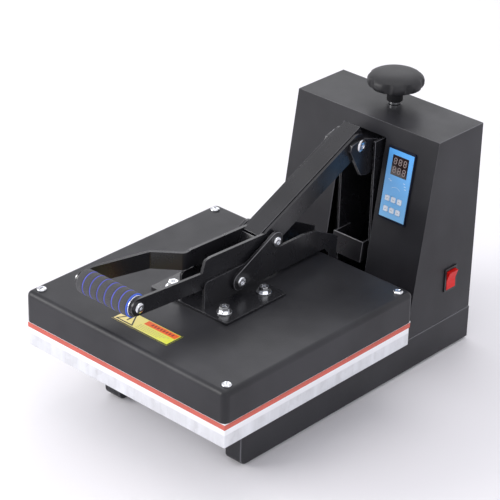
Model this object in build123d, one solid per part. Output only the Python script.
from build123d import *
import os
from math import atan2, cos, degrees, hypot, radians, sin, tan

# A clamshell heat press.  X runs across the press, Y from the handle to the back, Z up.
# The origin is on the floor, under the middle of the whole object.  Millimetres.

# Press plates
PLATE = 380.0
PLATE_Y = -106.0
TRAY_BOTTOM = 102.0
TRAY_TOP = 130.2
PAD_TOP = 138.0
HEAT_PLATE_BOTTOM = 138.3
FLANGE = 2.4
HEAT_PLATE_TOP = 150.0
COVER_SIZE = 384.0
COVER_TOP = 188.0
COVER_CORNER = 10.0
COVER_EDGE = 8.0
SHEET = 1.5

# Base frame
RAIL_OUT = 133.5
RAIL_WIDE = 29.0
RAIL_HIGH = 56.0
RAIL_FRONT = -202.0
REAR = 302.0
FOOT_HIGH = 3.0
RAIL_IN = RAIL_OUT - RAIL_WIDE
TUBE_WALL = 2.5

# Housing
HOUSING_LOW = 57.0
HOUSING_TOP = 360.0
HOUSING_REAR = 299.5
FRONT_TOP_Y = 198.3
TILT = 9.15
SLOT_HALF = 40.0
SLOT_LOW = 100.0
SLOT_HIGH = 339.0

# Pivots of the toggle linkage, as (y, z)
HINGE = (116.0, 128.0)
LOWER_PIVOT = (-97.0, 211.5)
UPPER_PIVOT = (-25.0, 247.5)
TOP_PIVOT = (157.0, 333.0)
BOLT_R = 5.0
RUNNING = 0.05

# Layers of the linkage across X, from the middle out
LEVER_IN = 15.0
LEVER_OUT = 19.5
ARM_IN = 20.0
ARM_OUT = 24.0
STRAP_IN = 24.5
STRAP_OUT = 29.5
STRAP_WIDE = 27.0
HEAD_OUT = 33.5
EAR_IN = 26.5
EAR_OUT = 32.5

# Arm
ARM_BASE_TOP = 192.0
ARM_TOP = 232.0
ARM_BASE = (146.0, 122.0)
ARM_BASE_Y = -110.0
STUD_X = 49.0
STUD_Y = (-150.0, -70.0)
STUD_R = 4.0
WASHER_R = 11.0
WASHER_HIGH = 1.8
BOLT_FLATS = 13.0
BOLT_HEAD_HIGH = 8.0

# Handle, with grip, link and fork
GRIP = (-284.5, 241.0)
GRIP_R = 17.5
GRIP_RIGHT = 13.0
GRIP_LEFT = -85.0
BAR_END_R = 12.5
LINK_DEPTH = 31.0
LINK_SHIFT = 1.5
STEP_Y = -158.0

# Column and pressure screw
COLUMN_IN = 28.5
COLUMN_OUT = 32.5
COLUMN_FRONT = 180.0
COLUMN_REAR = 290.0
COLUMN_TOP = 345.0
SCREW_Y = 259.5
SCREW_R = 6.0
KNOB_R = 42.0
KNOB_LOW = 388.5
KNOB_TOP = 412.0
KNOB_LOBES = 8

# Controller, in the plane of the tilted front
PANEL_X = 73.7
PANEL_Z = 277.0
BEZEL = (49.5, 110.5)
OVERLAY = (46.0, 104.0)
DISPLAY = (29.4, 30.4)
DISPLAY_UP = 29.0
KEY = 8.0
KEY_PITCH = 11.2
KEY_ROWS = {"upper": -22.5, "lower": -39.0}
KEY_COLUMNS = {"left": -13.0, "middle": -1.8, "right": 9.4}

# Rocker switch on the right side
SWITCH = (246.5, 124.5)
SWITCH_FLANGE = (28.0, 39.0)
SWITCH_HOLE = (21.0, 31.0)
SWITCH_CASE = (24.0, 34.0)
ROCKER_TILT = 8.0

# Glands and fuse holder in a rear face, as (x, z), and the bore for a cord
GLAND = (-95.0, 95.0)
FUSE = (-60.0, 95.0)
HEATER_GLAND = (60.0, 165.0)
GLAND_R = 7.0
GLAND_FLANGE_R = 9.5
CORD_R = 3.6
FUSE_R = 6.0

# Small screws
COVER_SCREW_R = 2.5
PANEL_SCREW_R = 2.0


def front_y(z):
    """Y of the housing's tilted front at a height."""
    return FRONT_TOP_Y - (HOUSING_TOP - z) * tan(radians(TILT))


def block(x_span, y_span, z_span):
    """A box from its spans along X, Y and Z."""
    size = [high - low for low, high in (x_span, y_span, z_span)]
    middle = [(high + low) / 2 for low, high in (x_span, y_span, z_span)]
    return Pos(*middle) * Box(*size)


def side_plate(sketch, x_low, x_high):
    """A flat plate standing in the Y-Z plane between two X positions."""
    return extrude(Plane.YZ.offset(x_low) * sketch, x_high - x_low, dir=(1, 0, 0))


def outline(*points):
    """A closed flat outline."""
    return make_face(Polyline(*points, close=True))


def disc(centre, radius):
    """A flat disc at a (y, z) point."""
    return Pos(*centre) * Circle(radius)


def cross_rod(centre, radius, x_low, x_high):
    """A round rod along X."""
    return side_plate(disc(centre, radius), x_low, x_high)


def upright(x, y, radius, z_low, z_high):
    """A round rod along Z."""
    return Pos(x, y, (z_low + z_high) / 2) * Cylinder(radius, z_high - z_low)


def hex_head(x, y, flats, z_low, z_high):
    """A hexagonal bolt head standing on end."""
    head = extrude(RegularPolygon(flats / 2, 6, major_radius=False), z_high - z_low)
    return Pos(x, y, z_low) * head


def between(start, end, across, shift=0.0):
    """A round-ended link outline from one (y, z) pivot to the other."""
    length = hypot(end[0] - start[0], end[1] - start[1])
    angle = degrees(atan2(end[1] - start[1], end[0] - start[0]))
    middle = ((start[0] + end[0]) / 2, (start[1] + end[1]) / 2)
    return Pos(*middle) * Rot(0, 0, angle) * Pos(0, shift) * SlotCenterToCenter(length, across)


def mirrored(part):
    """The same part on the other side of the press."""
    return mirror(part, Plane.YZ)


# ---------------------------------------------------------------- base frame
def rail():
    outer = block((RAIL_IN, RAIL_OUT), (RAIL_FRONT, REAR), (FOOT_HIGH, RAIL_HIGH))
    nose = outer.edges().filter_by(Axis.X).group_by(Axis.Y)[0].sort_by(Axis.Z)[0]
    outer = fillet(nose, 12.0)
    inner = block(
        (RAIL_IN + TUBE_WALL, RAIL_OUT - TUBE_WALL),
        (RAIL_FRONT + 14.0, REAR + 1.0),
        (FOOT_HIGH + TUBE_WALL, RAIL_HIGH - TUBE_WALL),
    )
    return outer - inner


def crossbars():
    """Two folded channels under the tray and a floor plate under the column, between the rails."""
    across = (-RAIL_IN, RAIL_IN)
    bars = []
    for y in (-150.0, 50.0):
        outer = block(across, (y - 20, y + 20), (26.0, RAIL_HIGH))
        inner = block(across, (y - 20 + TUBE_WALL, y + 20 - TUBE_WALL), (20.0, RAIL_HIGH - TUBE_WALL))
        bars.append(outer - inner)
    bars.append(block(across, (92.0, 296.0), (52.0, RAIL_HIGH)))
    return Compound(bars)


def rubber_feet():
    feet = []
    for x in (-119.0, 119.0):
        for y in (-170.0, 275.0):
            feet.append(upright(x, y, 11.0, 0.0, FOOT_HIGH))
    return Compound(feet)


def platen_posts():
    posts = []
    for x in (-70.0, 70.0):
        for y in (-150.0, 50.0):
            posts.append(upright(x, y, 12.0, RAIL_HIGH, TRAY_TOP - 2.0))
    return Compound(posts)


def lower_platen_tray():
    half = PLATE / 2 - 1.0
    y_span = (PLATE_Y - half, PLATE_Y + half)
    tray = block((-half, half), y_span, (TRAY_BOTTOM, TRAY_TOP))
    wall = 2.0
    inner_y = (y_span[0] + wall, y_span[1] - wall)
    inner = block((-half + wall, half - wall), inner_y, (TRAY_BOTTOM - 1, TRAY_TOP - wall))
    return tray - inner


def silicone_pad():
    half = PLATE / 2
    return block((-half, half), (PLATE_Y - half, PLATE_Y + half), (TRAY_TOP, PAD_TOP))


def hinge_ears():
    y, z = HINGE
    foot = outline((y - 24, RAIL_HIGH), (y + 24, RAIL_HIGH), (y + 15, z), (y - 15, z))
    ear = foot + disc(HINGE, 15.0) - disc(HINGE, 7.0)
    right = side_plate(ear, EAR_IN, EAR_OUT)
    return Compound([right, mirrored(right)])


def hinge_bolt():
    bolt = cross_rod(HINGE, 6.95, -EAR_OUT - 4.0, EAR_OUT + 2.0)
    head = extrude(RegularPolygon(11.0, 6, major_radius=False), 6.0)
    head = Plane.YZ.offset(EAR_OUT + 0.2) * Pos(*HINGE) * head
    return bolt + head


# ---------------------------------------------------------------- column and housing
def column_plates():
    plate = outline(
        (COLUMN_FRONT, RAIL_HIGH),
        (COLUMN_REAR, RAIL_HIGH),
        (COLUMN_REAR, COLUMN_TOP),
        (214.0, COLUMN_TOP),
        (214.0, 334.0),
        (COLUMN_FRONT, 334.0),
    )
    right = side_plate(plate, COLUMN_IN, COLUMN_OUT)
    return Compound([right, mirrored(right)])


def column_web():
    inside = (-COLUMN_IN, COLUMN_IN)
    web = block(inside, (COLUMN_REAR - 4, COLUMN_REAR), (RAIL_HIGH, COLUMN_TOP))
    for z in (180.0, 232.0):
        web = web + block(inside, (COLUMN_REAR - 12, COLUMN_REAR - 3), (z, z + 3.0))
    return web


def column_top_plate():
    plate = block((-COLUMN_OUT, COLUMN_OUT), (216.0, COLUMN_REAR), (COLUMN_TOP, COLUMN_TOP + 7))
    return plate - upright(0, SCREW_Y, SCREW_R + RUNNING, COLUMN_TOP - 1, COLUMN_TOP + 8)


def column_guard():
    low, high, back, wall = 141.0, 173.0, 205.0, 2.5
    half = COLUMN_IN - 0.3
    front_low = front_y(low) + 0.5
    front_high = front_y(high) + 0.5
    shell = outline((front_low, low), (back, low), (back, high), (front_high, high))
    core = outline(
        (front_low + wall, low - 1),
        (back + 1, low - 1),
        (back + 1, high + 1),
        (front_high + wall, high + 1),
    )
    return side_plate(shell, -half, half) - side_plate(core, -half + wall, half - wall)


def housing_outline(inset):
    """The housing's side view; an inset one runs out past the open bottom and rear."""
    past = 1.0 if inset else 0.0
    low = HOUSING_LOW - past
    high = HOUSING_TOP - inset
    rear = HOUSING_REAR + past
    lean = inset / cos(radians(TILT))
    return outline((front_y(low) + lean, low), (front_y(high) + lean, high), (rear, high), (rear, low))


def panel_plane():
    """The tilted front's plane, with its origin at the controller's middle."""
    normal = (0, -cos(radians(TILT)), sin(radians(TILT)))
    return Plane(origin=(PANEL_X, front_y(PANEL_Z), PANEL_Z), x_dir=(1, 0, 0), z_dir=normal)


def switch_plane():
    """The right side's plane, with its origin at the switch's middle."""
    return Plane(origin=(RAIL_OUT, *SWITCH), x_dir=(0, 1, 0), z_dir=(1, 0, 0))


def housing_shell():
    outer = side_plate(housing_outline(0.0), -RAIL_OUT, RAIL_OUT)
    inner = side_plate(housing_outline(SHEET), -RAIL_OUT + SHEET, RAIL_OUT - SHEET)
    shell = outer - inner
    shell = shell - block((-SLOT_HALF, SLOT_HALF), (100.0, 212.0), (SLOT_LOW, SLOT_HIGH))
    shell = shell - upright(0, SCREW_Y, 9.0, HOUSING_TOP - 10, HOUSING_TOP + 10)
    shell = shell - panel_plane().location * Box(46.0, 107.0, 20.0)
    wide, high = SWITCH_CASE
    return shell - switch_plane().location * Box(wide + 0.5, high + 0.5, 20.0)


def y_rod(centre, radius, y_low, y_high):
    """A round rod along Y at an (x, z) point."""
    x, z = centre
    return Pos(x, (y_low + y_high) / 2, z) * Rot(90, 0, 0) * Cylinder(radius, y_high - y_low)


def back_screw_places():
    return [(x, z) for x in (-120.0, 120.0) for z in (72.0, 208.0, 344.0)]


def back_panel():
    half = RAIL_OUT - SHEET - 0.3
    z_span = (HOUSING_LOW + 1.0, HOUSING_TOP - SHEET - 0.3)
    panel = block((-half, half), (HOUSING_REAR - SHEET, HOUSING_REAR), z_span)
    for place in back_screw_places():
        panel = panel - y_rod(place, PANEL_SCREW_R + 0.05, HOUSING_REAR - 5, HOUSING_REAR + 5)
    panel = panel - y_rod(GLAND, GLAND_R + 0.1, HOUSING_REAR - 5, HOUSING_REAR + 5)
    panel = panel - y_rod(FUSE, FUSE_R + 0.1, HOUSING_REAR - 5, HOUSING_REAR + 5)
    for row in range(6):
        for column in range(-3, 4):
            vent = Pos(column * 22.0, HOUSING_REAR - 0.7, 250.0 + row * 12.0) * Box(14.0, 5.0, 3.0)
            panel = panel - vent
    return panel


def back_panel_screws():
    screws = []
    for place in back_screw_places():
        head = y_rod(place, 3.8, HOUSING_REAR, HOUSING_REAR + 2.0)
        screws.append(head + y_rod(place, PANEL_SCREW_R, HOUSING_REAR - 8, HOUSING_REAR + 0.5))
    return Compound(screws)


def mains_gland():
    gland = y_rod(GLAND, GLAND_FLANGE_R, HOUSING_REAR, HOUSING_REAR + 2.3)
    gland = gland + y_rod(GLAND, GLAND_R, HOUSING_REAR - 14.0, HOUSING_REAR + 1.0)
    return gland - y_rod(GLAND, CORD_R, HOUSING_REAR - 20.0, HOUSING_REAR + 5.0)


def fuse_holder():
    cap = y_rod(FUSE, 8.0, HOUSING_REAR, HOUSING_REAR + 2.4)
    return cap + y_rod(FUSE, FUSE_R, HOUSING_REAR - 26.0, HOUSING_REAR + 1.0)


def power_relay():
    body = block((74.0, 118.0), (225.0, 283.0), (RAIL_HIGH, RAIL_HIGH + 28.0))
    for y in (233.0, 275.0):
        body = body + upright(96.0, y, 5.0, RAIL_HIGH + 27.0, RAIL_HIGH + 32.0)
    return body


# ---------------------------------------------------------------- controller and switch
def key_places():
    return [
        (f"{row}_{column}_key", x, y)
        for row, y in KEY_ROWS.items()
        for column, x in KEY_COLUMNS.items()
    ]


def controller_bezel():
    bezel = extrude(RectangleRounded(*BEZEL, 2.0), 3.0)
    bezel = bezel + Pos(0, 0, -5) * Box(45.0, 106.0, 10.0)
    bezel = bezel - Pos(0, 0, 2.4) * Box(OVERLAY[0] + 0.2, OVERLAY[1] + 0.2, 1.2)
    bezel = bezel - Pos(0, 0, -6.0) * Box(41.0, 102.0, 10.0)
    bezel = bezel - Pos(0, DISPLAY_UP, 0) * Box(27.0, 28.0, 9.0)
    for _, x, y in key_places():
        bezel = bezel - Pos(x, y, 0) * Box(KEY + 0.8, KEY + 0.8, 9.0)
    return panel_plane().location * bezel


def controller_overlay():
    sheet = Pos(0, 0, 2.3) * Box(*OVERLAY, 0.9)
    sheet = sheet - Pos(0, DISPLAY_UP, 2.3) * Box(DISPLAY[0] + 0.2, DISPLAY[1] + 0.2, 2.0)
    for _, x, y in key_places():
        sheet = sheet - Pos(x, y, 2.3) * Box(KEY + 0.8, KEY + 0.8, 2.0)
    return panel_plane().location * sheet


def display_window():
    return panel_plane().location * (Pos(0, DISPLAY_UP, 2.35) * Box(*DISPLAY, 1.0))


def circuit_board():
    board = Pos(0, 0, -8.0) * Box(40.0, 100.0, 1.6)
    board = board + Pos(0, 10.0, -12.3) * Box(30.0, 40.0, 8.0)
    return panel_plane().location * board


def panel_key(x, y):
    cap = Pos(x, y, 0.6) * Box(KEY, KEY, 5.6)
    cap = fillet(cap.edges().filter_by(Axis.Z), 1.2)
    return panel_plane().location * cap


def switch_body():
    flange = extrude(RectangleRounded(*SWITCH_FLANGE, 2.5), 2.2)
    wide, high = SWITCH_HOLE
    body = flange + Pos(0, 0, -11.0) * Box(*SWITCH_CASE, 22.0)
    body = body - Pos(0, 0, -4.0) * Box(wide, high, 14.0)
    body = body - Pos(0, 0, -3.0) * Rot(0, 90, 0) * Cylinder(1.55, wide + 2.0)
    return switch_plane().location * body


def switch_rocker():
    half = SWITCH_HOLE[1] / 2 - 1.0
    profile = outline((-half, -2.0), (half, -2.0), (half, 5.5), (0, 3.0), (-half, 5.5))
    reach = SWITCH_HOLE[0] / 2 - 0.3
    cap = side_plate(profile, -reach, reach)
    cap = Pos(0, 0, -0.4) * cap + Pos(0, 0, -3.0) * Box(2 * reach, 7.0, 3.0)
    cap = cap + Pos(0, 0, -3.0) * Rot(0, 90, 0) * Cylinder(1.5, SWITCH_HOLE[0] + 1.6)
    cap = Pos(0, 0, -3.0) * Rot(ROCKER_TILT, 0, 0) * Pos(0, 0, 3.0) * cap
    return switch_plane().location * cap


# ---------------------------------------------------------------- pressure screw and clevis
def pressure_screw():
    rod = upright(0, SCREW_Y, SCREW_R, 280.0, KNOB_LOW + 6.0)
    return rod + upright(0, SCREW_Y, 11.0, 337.0, COLUMN_TOP - 0.4)


def pressure_knob():
    hub_low = HOUSING_TOP + 5.0
    rim = KNOB_LOW + 10.0
    bore = SCREW_R + 0.02
    sides = outline(
        (0, rim),
        (KNOB_R, rim),
        (KNOB_R, KNOB_LOW + 2),
        (KNOB_R - 2, KNOB_LOW),
        (0, KNOB_LOW),
    )
    body = revolve(Plane.XZ * sides, Axis.Z)
    rise = KNOB_TOP - rim
    ball_r = (KNOB_R**2 + rise**2) / (2 * rise)
    ball = Pos(0, 0, KNOB_TOP - ball_r) * Sphere(ball_r)
    dome = ball & upright(0, 0, KNOB_R, rim - 1.0, KNOB_TOP + 1.0)
    knob = body + dome + upright(0, 0, 12.0, hub_low, KNOB_LOW + 1.0)
    knob = knob - upright(0, 0, bore, hub_low - 1.0, KNOB_LOW + 6.05)
    scallop = extrude(Pos(KNOB_R + 7.0, 0) * Circle(11.5), 28.0)
    for lobe in range(KNOB_LOBES):
        cut = Rot(0, 0, (lobe + 0.5) * 360.0 / KNOB_LOBES) * Pos(0, 0, KNOB_LOW - 4.0) * scallop
        knob = knob - cut
    return Pos(0, SCREW_Y, 0) * knob


def knob_washer():
    ring = upright(0, SCREW_Y, 8.6, HOUSING_TOP + 0.4, HOUSING_TOP + 4.7)
    return ring - upright(0, SCREW_Y, SCREW_R + 0.02, HOUSING_TOP - 1, HOUSING_TOP + 8)


def pressure_clevis():
    y, z = TOP_PIVOT
    lug = outline(
        (y - 21, z + 6),
        (y - 24, z - 2),
        (y + 1, z - 47),
        (y + 12, z - 50),
        (y + 60, z - 50),
        (y + 60, z - 8),
        (y + 8, z + 9),
        (y - 10, z + 9),
    )
    right = side_plate(lug - disc(TOP_PIVOT, 5.02), LEVER_OUT + 0.8, 25.5)
    inner = LEVER_OUT + 0.8
    nut = block((-inner, inner), (187.0, 278.0), (z - 45, z - 5))
    body = nut + right + mirrored(right)
    return body - upright(0, SCREW_Y, SCREW_R + RUNNING, 270.0, 340.0)


def clevis_pins():
    pin = cross_rod(TOP_PIVOT, 5.0, LEVER_OUT + 0.5, 26.0)
    right = pin + cross_rod(TOP_PIVOT, 9.5, 25.6, 28.2)
    return Compound([right, mirrored(right)])


# ---------------------------------------------------------------- arm and upper platen
def arm_outline():
    y, z = HINGE
    body = outline(
        (-163.0, ARM_BASE_TOP),
        (88.0, ARM_BASE_TOP),
        (96.0, 182.0),
        (y - 15, z),
        (y + 15, z),
        (y - 3, 174.0),
        (y - 1, 203.0),
        (67.0, 228.0),
        (40.0, ARM_TOP),
        (-163.0, ARM_TOP),
    )
    corners = body.vertices().group_by(Axis.X)[0].sort_by(Axis.Y)
    body = fillet(corners[-1], 7.0)
    return body + disc(HINGE, 15.0)


def arm_side_plates():
    right = side_plate(arm_outline() - disc(HINGE, 11.05) - disc(LOWER_PIVOT, 5.02), ARM_IN, ARM_OUT)
    return Compound([right, mirrored(right)])


def arm_web():
    """A folded plate that ties the side plates together behind the lever."""
    fold = outline(
        (0.0, 196.0),
        (84.0, 196.0),
        (97.0, 188.0),
        (104.0, 152.0),
        (108.0, 153.0),
        (102.0, 190.0),
        (86.0, 200.0),
        (0.0, 200.0),
    )
    return side_plate(fold, -ARM_IN, ARM_IN)


def hinge_tube():
    return cross_rod(HINGE, 11.0, -ARM_OUT - 1.5, ARM_OUT + 1.5) - cross_rod(HINGE, 7.0, -40, 40)


def arm_base_plate():
    wide, deep = ARM_BASE
    plate = extrude(RectangleRounded(wide, deep, 3.0), ARM_BASE_TOP - COVER_TOP)
    plate = Pos(0, ARM_BASE_Y, COVER_TOP) * plate
    for x, y in stud_places():
        plate = plate - upright(x, y, STUD_R + 0.6, COVER_TOP - 1, ARM_BASE_TOP + 1)
    return plate


def stud_places():
    return [(x, y) for x in (-STUD_X, STUD_X) for y in STUD_Y]


def mounting_bolts():
    """Hexagon bolts with a cross recess, from the heat plate up through the arm's base."""
    bolts = []
    head_low = ARM_BASE_TOP + WASHER_HIGH
    head_top = head_low + BOLT_HEAD_HIGH
    for x, y in stud_places():
        bolt = hex_head(x, y, BOLT_FLATS, head_low, head_top)
        bolt = bolt + upright(x, y, STUD_R, HEAT_PLATE_TOP, head_low + 1.0)
        for turn in (0, 90):
            slot = Rot(0, 0, turn) * Box(8.0, 1.8, 5.0)
            bolt = bolt - Pos(x, y, head_top) * slot
        bolts.append(bolt)
    return Compound(bolts)


def mounting_washers():
    washers = []
    for x, y in stud_places():
        washer = upright(x, y, WASHER_R, ARM_BASE_TOP, ARM_BASE_TOP + WASHER_HIGH)
        washers.append(washer - upright(x, y, STUD_R + 0.3, ARM_BASE_TOP - 1, ARM_BASE_TOP + 3))
    return Compound(washers)


def top_cover():
    height = COVER_TOP - HEAT_PLATE_BOTTOM - FLANGE
    low = HEAT_PLATE_BOTTOM + FLANGE
    shell = extrude(RectangleRounded(COVER_SIZE, COVER_SIZE, COVER_CORNER), height)
    shell = fillet(shell.edges().group_by(Axis.Z)[-1], COVER_EDGE)
    core_size = COVER_SIZE - 2 * SHEET
    core = extrude(RectangleRounded(core_size, core_size, COVER_CORNER - SHEET), height - SHEET)
    core = fillet(core.edges().group_by(Axis.Z)[-1], COVER_EDGE - SHEET)
    cover = Pos(0, PLATE_Y, low) * (shell - Pos(0, 0, -0.01) * core)
    for x, y in stud_places():
        cover = cover - upright(x, y, STUD_R + 0.5, 160.0, 200.0)
    for x, y in cover_screw_places():
        cover = cover - upright(x, y, COVER_SCREW_R + 0.2, 160.0, 200.0)
    rear = PLATE_Y + COVER_SIZE / 2
    return cover - y_rod(HEATER_GLAND, GLAND_R + 0.1, rear - 10, rear + 10)


def heater_gland():
    rear = PLATE_Y + COVER_SIZE / 2
    gland = y_rod(HEATER_GLAND, GLAND_FLANGE_R, rear, rear + 7.0)
    gland = gland + y_rod(HEATER_GLAND, GLAND_R, rear - 9, rear + 1)
    return gland - y_rod(HEATER_GLAND, CORD_R, rear - 20, rear + 20)


def cover_screw_places():
    return [(x, PLATE_Y + y) for x in (-177.0, 177.0) for y in (-174.0, 174.0)]


def cover_screws():
    screws = []
    for x, y in cover_screw_places():
        head = upright(x, y, 7.2, COVER_TOP, COVER_TOP + 3.4)
        head = fillet(head.edges().group_by(Axis.Z)[-1], 2.4)
        screws.append(head + upright(x, y, COVER_SCREW_R, 145.0, COVER_TOP + 0.5))
    return Compound(screws)


def caution_label():
    label = extrude(RectangleRounded(106.0, 33.0, 2.0), 0.35)
    return Pos(-0.7, -248.5, COVER_TOP) * label


def heat_plate():
    half = PLATE / 2
    y_span = (PLATE_Y - half, PLATE_Y + half)
    flange = block((-half, half), y_span, (HEAT_PLATE_BOTTOM, HEAT_PLATE_BOTTOM + FLANGE))
    core_size = PLATE - 12.0
    core = extrude(RectangleRounded(core_size, core_size, 18.0), HEAT_PLATE_TOP - HEAT_PLATE_BOTTOM)
    plate = flange + Pos(0, PLATE_Y, HEAT_PLATE_BOTTOM) * core
    for x, y in cover_screw_places():
        plate = plate - upright(x, y, COVER_SCREW_R + 0.02, 140.0, 160.0)
    return plate


def heating_element():
    runs = [-125.0, -75.0, -25.0, 25.0, 75.0, 125.0]
    low, high, half, reach = HEAT_PLATE_TOP, HEAT_PLATE_TOP + 8.0, 4.0, 150.0
    element = None
    for index, run in enumerate(runs):
        y = PLATE_Y + run
        bar = block((-reach, reach), (y - half, y + half), (low, high))
        element = bar if element is None else element + bar
        if index + 1 < len(runs):
            side = reach if index % 2 == 0 else -reach
            turn = block((side - half, side + half), (y - half, y + 50.0 + half), (low, high))
            element = element + turn
    return element


def insulation_board():
    board = block((-168.0, 168.0), (PLATE_Y - 168.0, PLATE_Y + 155.0), (160.0, 174.0))
    for x, y in stud_places():
        board = board - upright(x, y, STUD_R + 1.0, 150.0, 190.0)
    return board


def temperature_sensor():
    y = PLATE_Y + 166.0
    return upright(-40.0, y, 6.0, HEAT_PLATE_TOP, 165.0) + upright(-40.0, y, 9.0, HEAT_PLATE_TOP, 152.0)


def lower_pivot_bolt():
    bolt = cross_rod(LOWER_PIVOT, BOLT_R - RUNNING, -HEAD_OUT, HEAD_OUT)
    for side in (-1, 1):
        low, high = sorted((side * (STRAP_OUT + 0.3), side * HEAD_OUT))
        bolt = bolt + cross_rod(LOWER_PIVOT, 7.5, low, high)
    return bolt


# ---------------------------------------------------------------- toggle straps
def toggle_straps():
    strap = between(LOWER_PIVOT, UPPER_PIVOT, STRAP_WIDE)
    strap = strap - disc(LOWER_PIVOT, BOLT_R) - disc(UPPER_PIVOT, BOLT_R + 0.02)
    right = side_plate(strap, STRAP_IN, STRAP_OUT)
    return Compound([right, mirrored(right)])


def upper_pivot_bolt():
    bolt = cross_rod(UPPER_PIVOT, BOLT_R, -HEAD_OUT, HEAD_OUT)
    for side in (-1, 1):
        low, high = sorted((side * (STRAP_OUT + 0.02), side * HEAD_OUT))
        bolt = bolt + cross_rod(UPPER_PIVOT, 7.5, low, high)
    return bolt


# ---------------------------------------------------------------- lever and handle
def link_outline():
    link = between(UPPER_PIVOT, TOP_PIVOT, LINK_DEPTH, LINK_SHIFT)
    return link - disc(TOP_PIVOT, 5.3) - disc(UPPER_PIVOT, BOLT_R + RUNNING)


def lever_plate_right():
    y, z = GRIP
    fork = outline(
        (-14.0, 238.0),
        (-30.0, 260.0),
        (-147.0, 264.0),
        (STEP_Y + 1, 262.0),
        (STEP_Y - 5, 245.0),
        (y + 1, z + BAR_END_R),
        (y - 1, z - BAR_END_R),
        (STEP_Y - 8, 220.0),
        (-40.0, 222.5),
    )
    plate = fork + disc(GRIP, BAR_END_R) + link_outline()
    plate = plate - disc(UPPER_PIVOT, BOLT_R + RUNNING) - disc(GRIP, 4.02)
    return side_plate(plate, LEVER_IN, LEVER_OUT)


def lever_plate_left():
    """The flat stretch by the link, and the strip that bends out to the grip's far end."""
    y, z = GRIP
    flat = outline((-14.0, 238.0), (-30.0, 260.0), (-152.0, 264.0), (-152.0, 237.0), (-60.0, 224.0))
    flat = flat + link_outline() - disc(UPPER_PIVOT, BOLT_R + RUNNING)
    plate = side_plate(flat, -LEVER_OUT, -LEVER_IN)
    side = outline(
        (-140.0, 264.0),
        (y, z + BAR_END_R),
        (y, z - BAR_END_R),
        (-140.0, 237.0),
    )
    side = side_plate(side + disc(GRIP, BAR_END_R) - disc(GRIP, 4.02), -110.0, -10.0)
    near = -(LEVER_IN + LEVER_OUT) / 2
    far = GRIP_LEFT - 1.0 - (LEVER_OUT - LEVER_IN) / 2
    corners = [(near, -146.0), (near, -160.0), (-57.0, -188.0), (far, -268.0), (far, -310.0)]
    path = FilletPolyline(*corners, radius=8.0)
    plan = trace(path, LEVER_OUT - LEVER_IN)
    return plate + (extrude(Pos(0, 0, 200.0) * plan, 90.0, dir=(0, 0, 1)) & side)


def link_channel():
    """A folded channel between the two lever plates."""
    length = hypot(TOP_PIVOT[0] - UPPER_PIVOT[0], TOP_PIVOT[1] - UPPER_PIVOT[1])
    angle = degrees(atan2(TOP_PIVOT[1] - UPPER_PIVOT[1], TOP_PIVOT[0] - UPPER_PIVOT[0]))
    half, wall, top, low = LEVER_IN - 0.6, 2.5, 18.5, -13.0
    start, end = -14.0, length + 17.0
    outer = block((-half, half), (start, end), (low, top))
    inner = block((-half + wall, half - wall), (start - 1, end + 1), (low - 1, top - wall))
    channel = outer - inner
    for centre in (0.0, length):
        channel = channel - (Pos(0, centre, 0) * Rot(0, 90, 0) * Cylinder(5.6, 60.0))
    return Pos(0, *UPPER_PIVOT) * Rot(angle, 0, 0) * channel


def lever_cross_plate():
    """Closes the fork under the channel's lower end."""
    plate = outline((-62.0, 226.0), (-58.0, 226.0), (-44.0, 254.0), (-48.0, 256.0))
    return side_plate(plate, -LEVER_IN + 0.05, LEVER_IN - 0.05)


def grip_rod():
    """A tube through the foam, with a flange against the right lever plate."""
    rod = cross_rod(GRIP, 6.0, GRIP_LEFT - 0.9, LEVER_IN - 0.1)
    rod = rod + cross_rod(GRIP, 15.5, GRIP_RIGHT + 0.1, LEVER_IN - 0.1)
    return rod - cross_rod(GRIP, 4.02, -200, 200)


def foam_grip():
    sleeve = cross_rod(GRIP, GRIP_R, GRIP_LEFT, GRIP_RIGHT)
    sleeve = fillet(sleeve.edges().filter_by(GeomType.CIRCLE), 4.0)
    return sleeve - cross_rod(GRIP, 6.02, -200, 200)


def grip_bolt():
    left = GRIP_LEFT - 1.0 - (LEVER_OUT - LEVER_IN)
    bolt = cross_rod(GRIP, 4.0, left - 6.0, LEVER_OUT + 4.0)
    bolt = bolt + cross_rod(GRIP, 7.5, LEVER_OUT + 0.02, LEVER_OUT + 4.5)
    return bolt + cross_rod(GRIP, 7.0, left - 5.5, left - 0.05)


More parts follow.
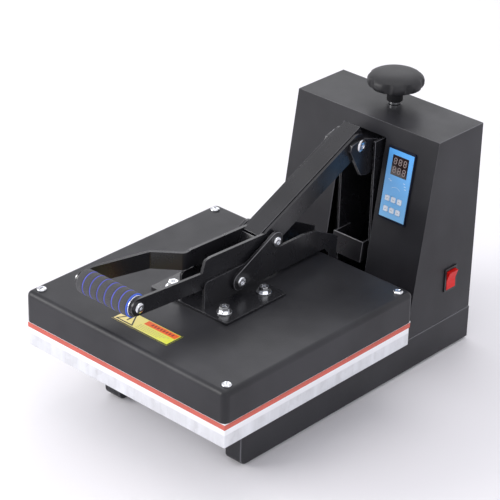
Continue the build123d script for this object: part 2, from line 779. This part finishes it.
PARTS = {
    "rail_right": rail(),
    "rail_left": mirrored(rail()),
    "crossbars": crossbars(),
    "rubber_feet": rubber_feet(),
    "platen_posts": platen_posts(),
    "lower_platen_tray": lower_platen_tray(),
    "silicone_pad": silicone_pad(),
    "hinge_ears": hinge_ears(),
    "hinge_bolt": hinge_bolt(),
    "column_plates": column_plates(),
    "column_web": column_web(),
    "column_top_plate": column_top_plate(),
    "column_guard": column_guard(),
    "housing_shell": housing_shell(),
    "back_panel": back_panel(),
    "back_panel_screws": back_panel_screws(),
    "mains_gland": mains_gland(),
    "fuse_holder": fuse_holder(),
    "power_relay": power_relay(),
    "controller_bezel": controller_bezel(),
    "controller_overlay": controller_overlay(),
    "display_window": display_window(),
    "circuit_board": circuit_board(),
    "switch_body": switch_body(),
    "switch_rocker": switch_rocker(),
    "pressure_screw": pressure_screw(),
    "pressure_knob": pressure_knob(),
    "knob_washer": knob_washer(),
    "pressure_clevis": pressure_clevis(),
    "clevis_pins": clevis_pins(),
    "arm_side_plates": arm_side_plates(),
    "arm_web": arm_web(),
    "hinge_tube": hinge_tube(),
    "arm_base_plate": arm_base_plate(),
    "mounting_bolts": mounting_bolts(),
    "mounting_washers": mounting_washers(),
    "top_cover": top_cover(),
    "heater_gland": heater_gland(),
    "cover_screws": cover_screws(),
    "caution_label": caution_label(),
    "heat_plate": heat_plate(),
    "heating_element": heating_element(),
    "insulation_board": insulation_board(),
    "temperature_sensor": temperature_sensor(),
    "lower_pivot_bolt": lower_pivot_bolt(),
    "toggle_straps": toggle_straps(),
    "upper_pivot_bolt": upper_pivot_bolt(),
    "lever_plate_right": lever_plate_right(),
    "lever_plate_left": lever_plate_left(),
    "link_channel": link_channel(),
    "lever_cross_plate": lever_cross_plate(),
    "grip_rod": grip_rod(),
    "foam_grip": foam_grip(),
    "grip_bolt": grip_bolt(),
}
for key_name, key_x, key_y in key_places():
    PARTS[key_name] = panel_key(key_x, key_y)

os.makedirs("parts", exist_ok=True)
for name, part in PARTS.items():
    export_step(part, f"parts/{name}.step")
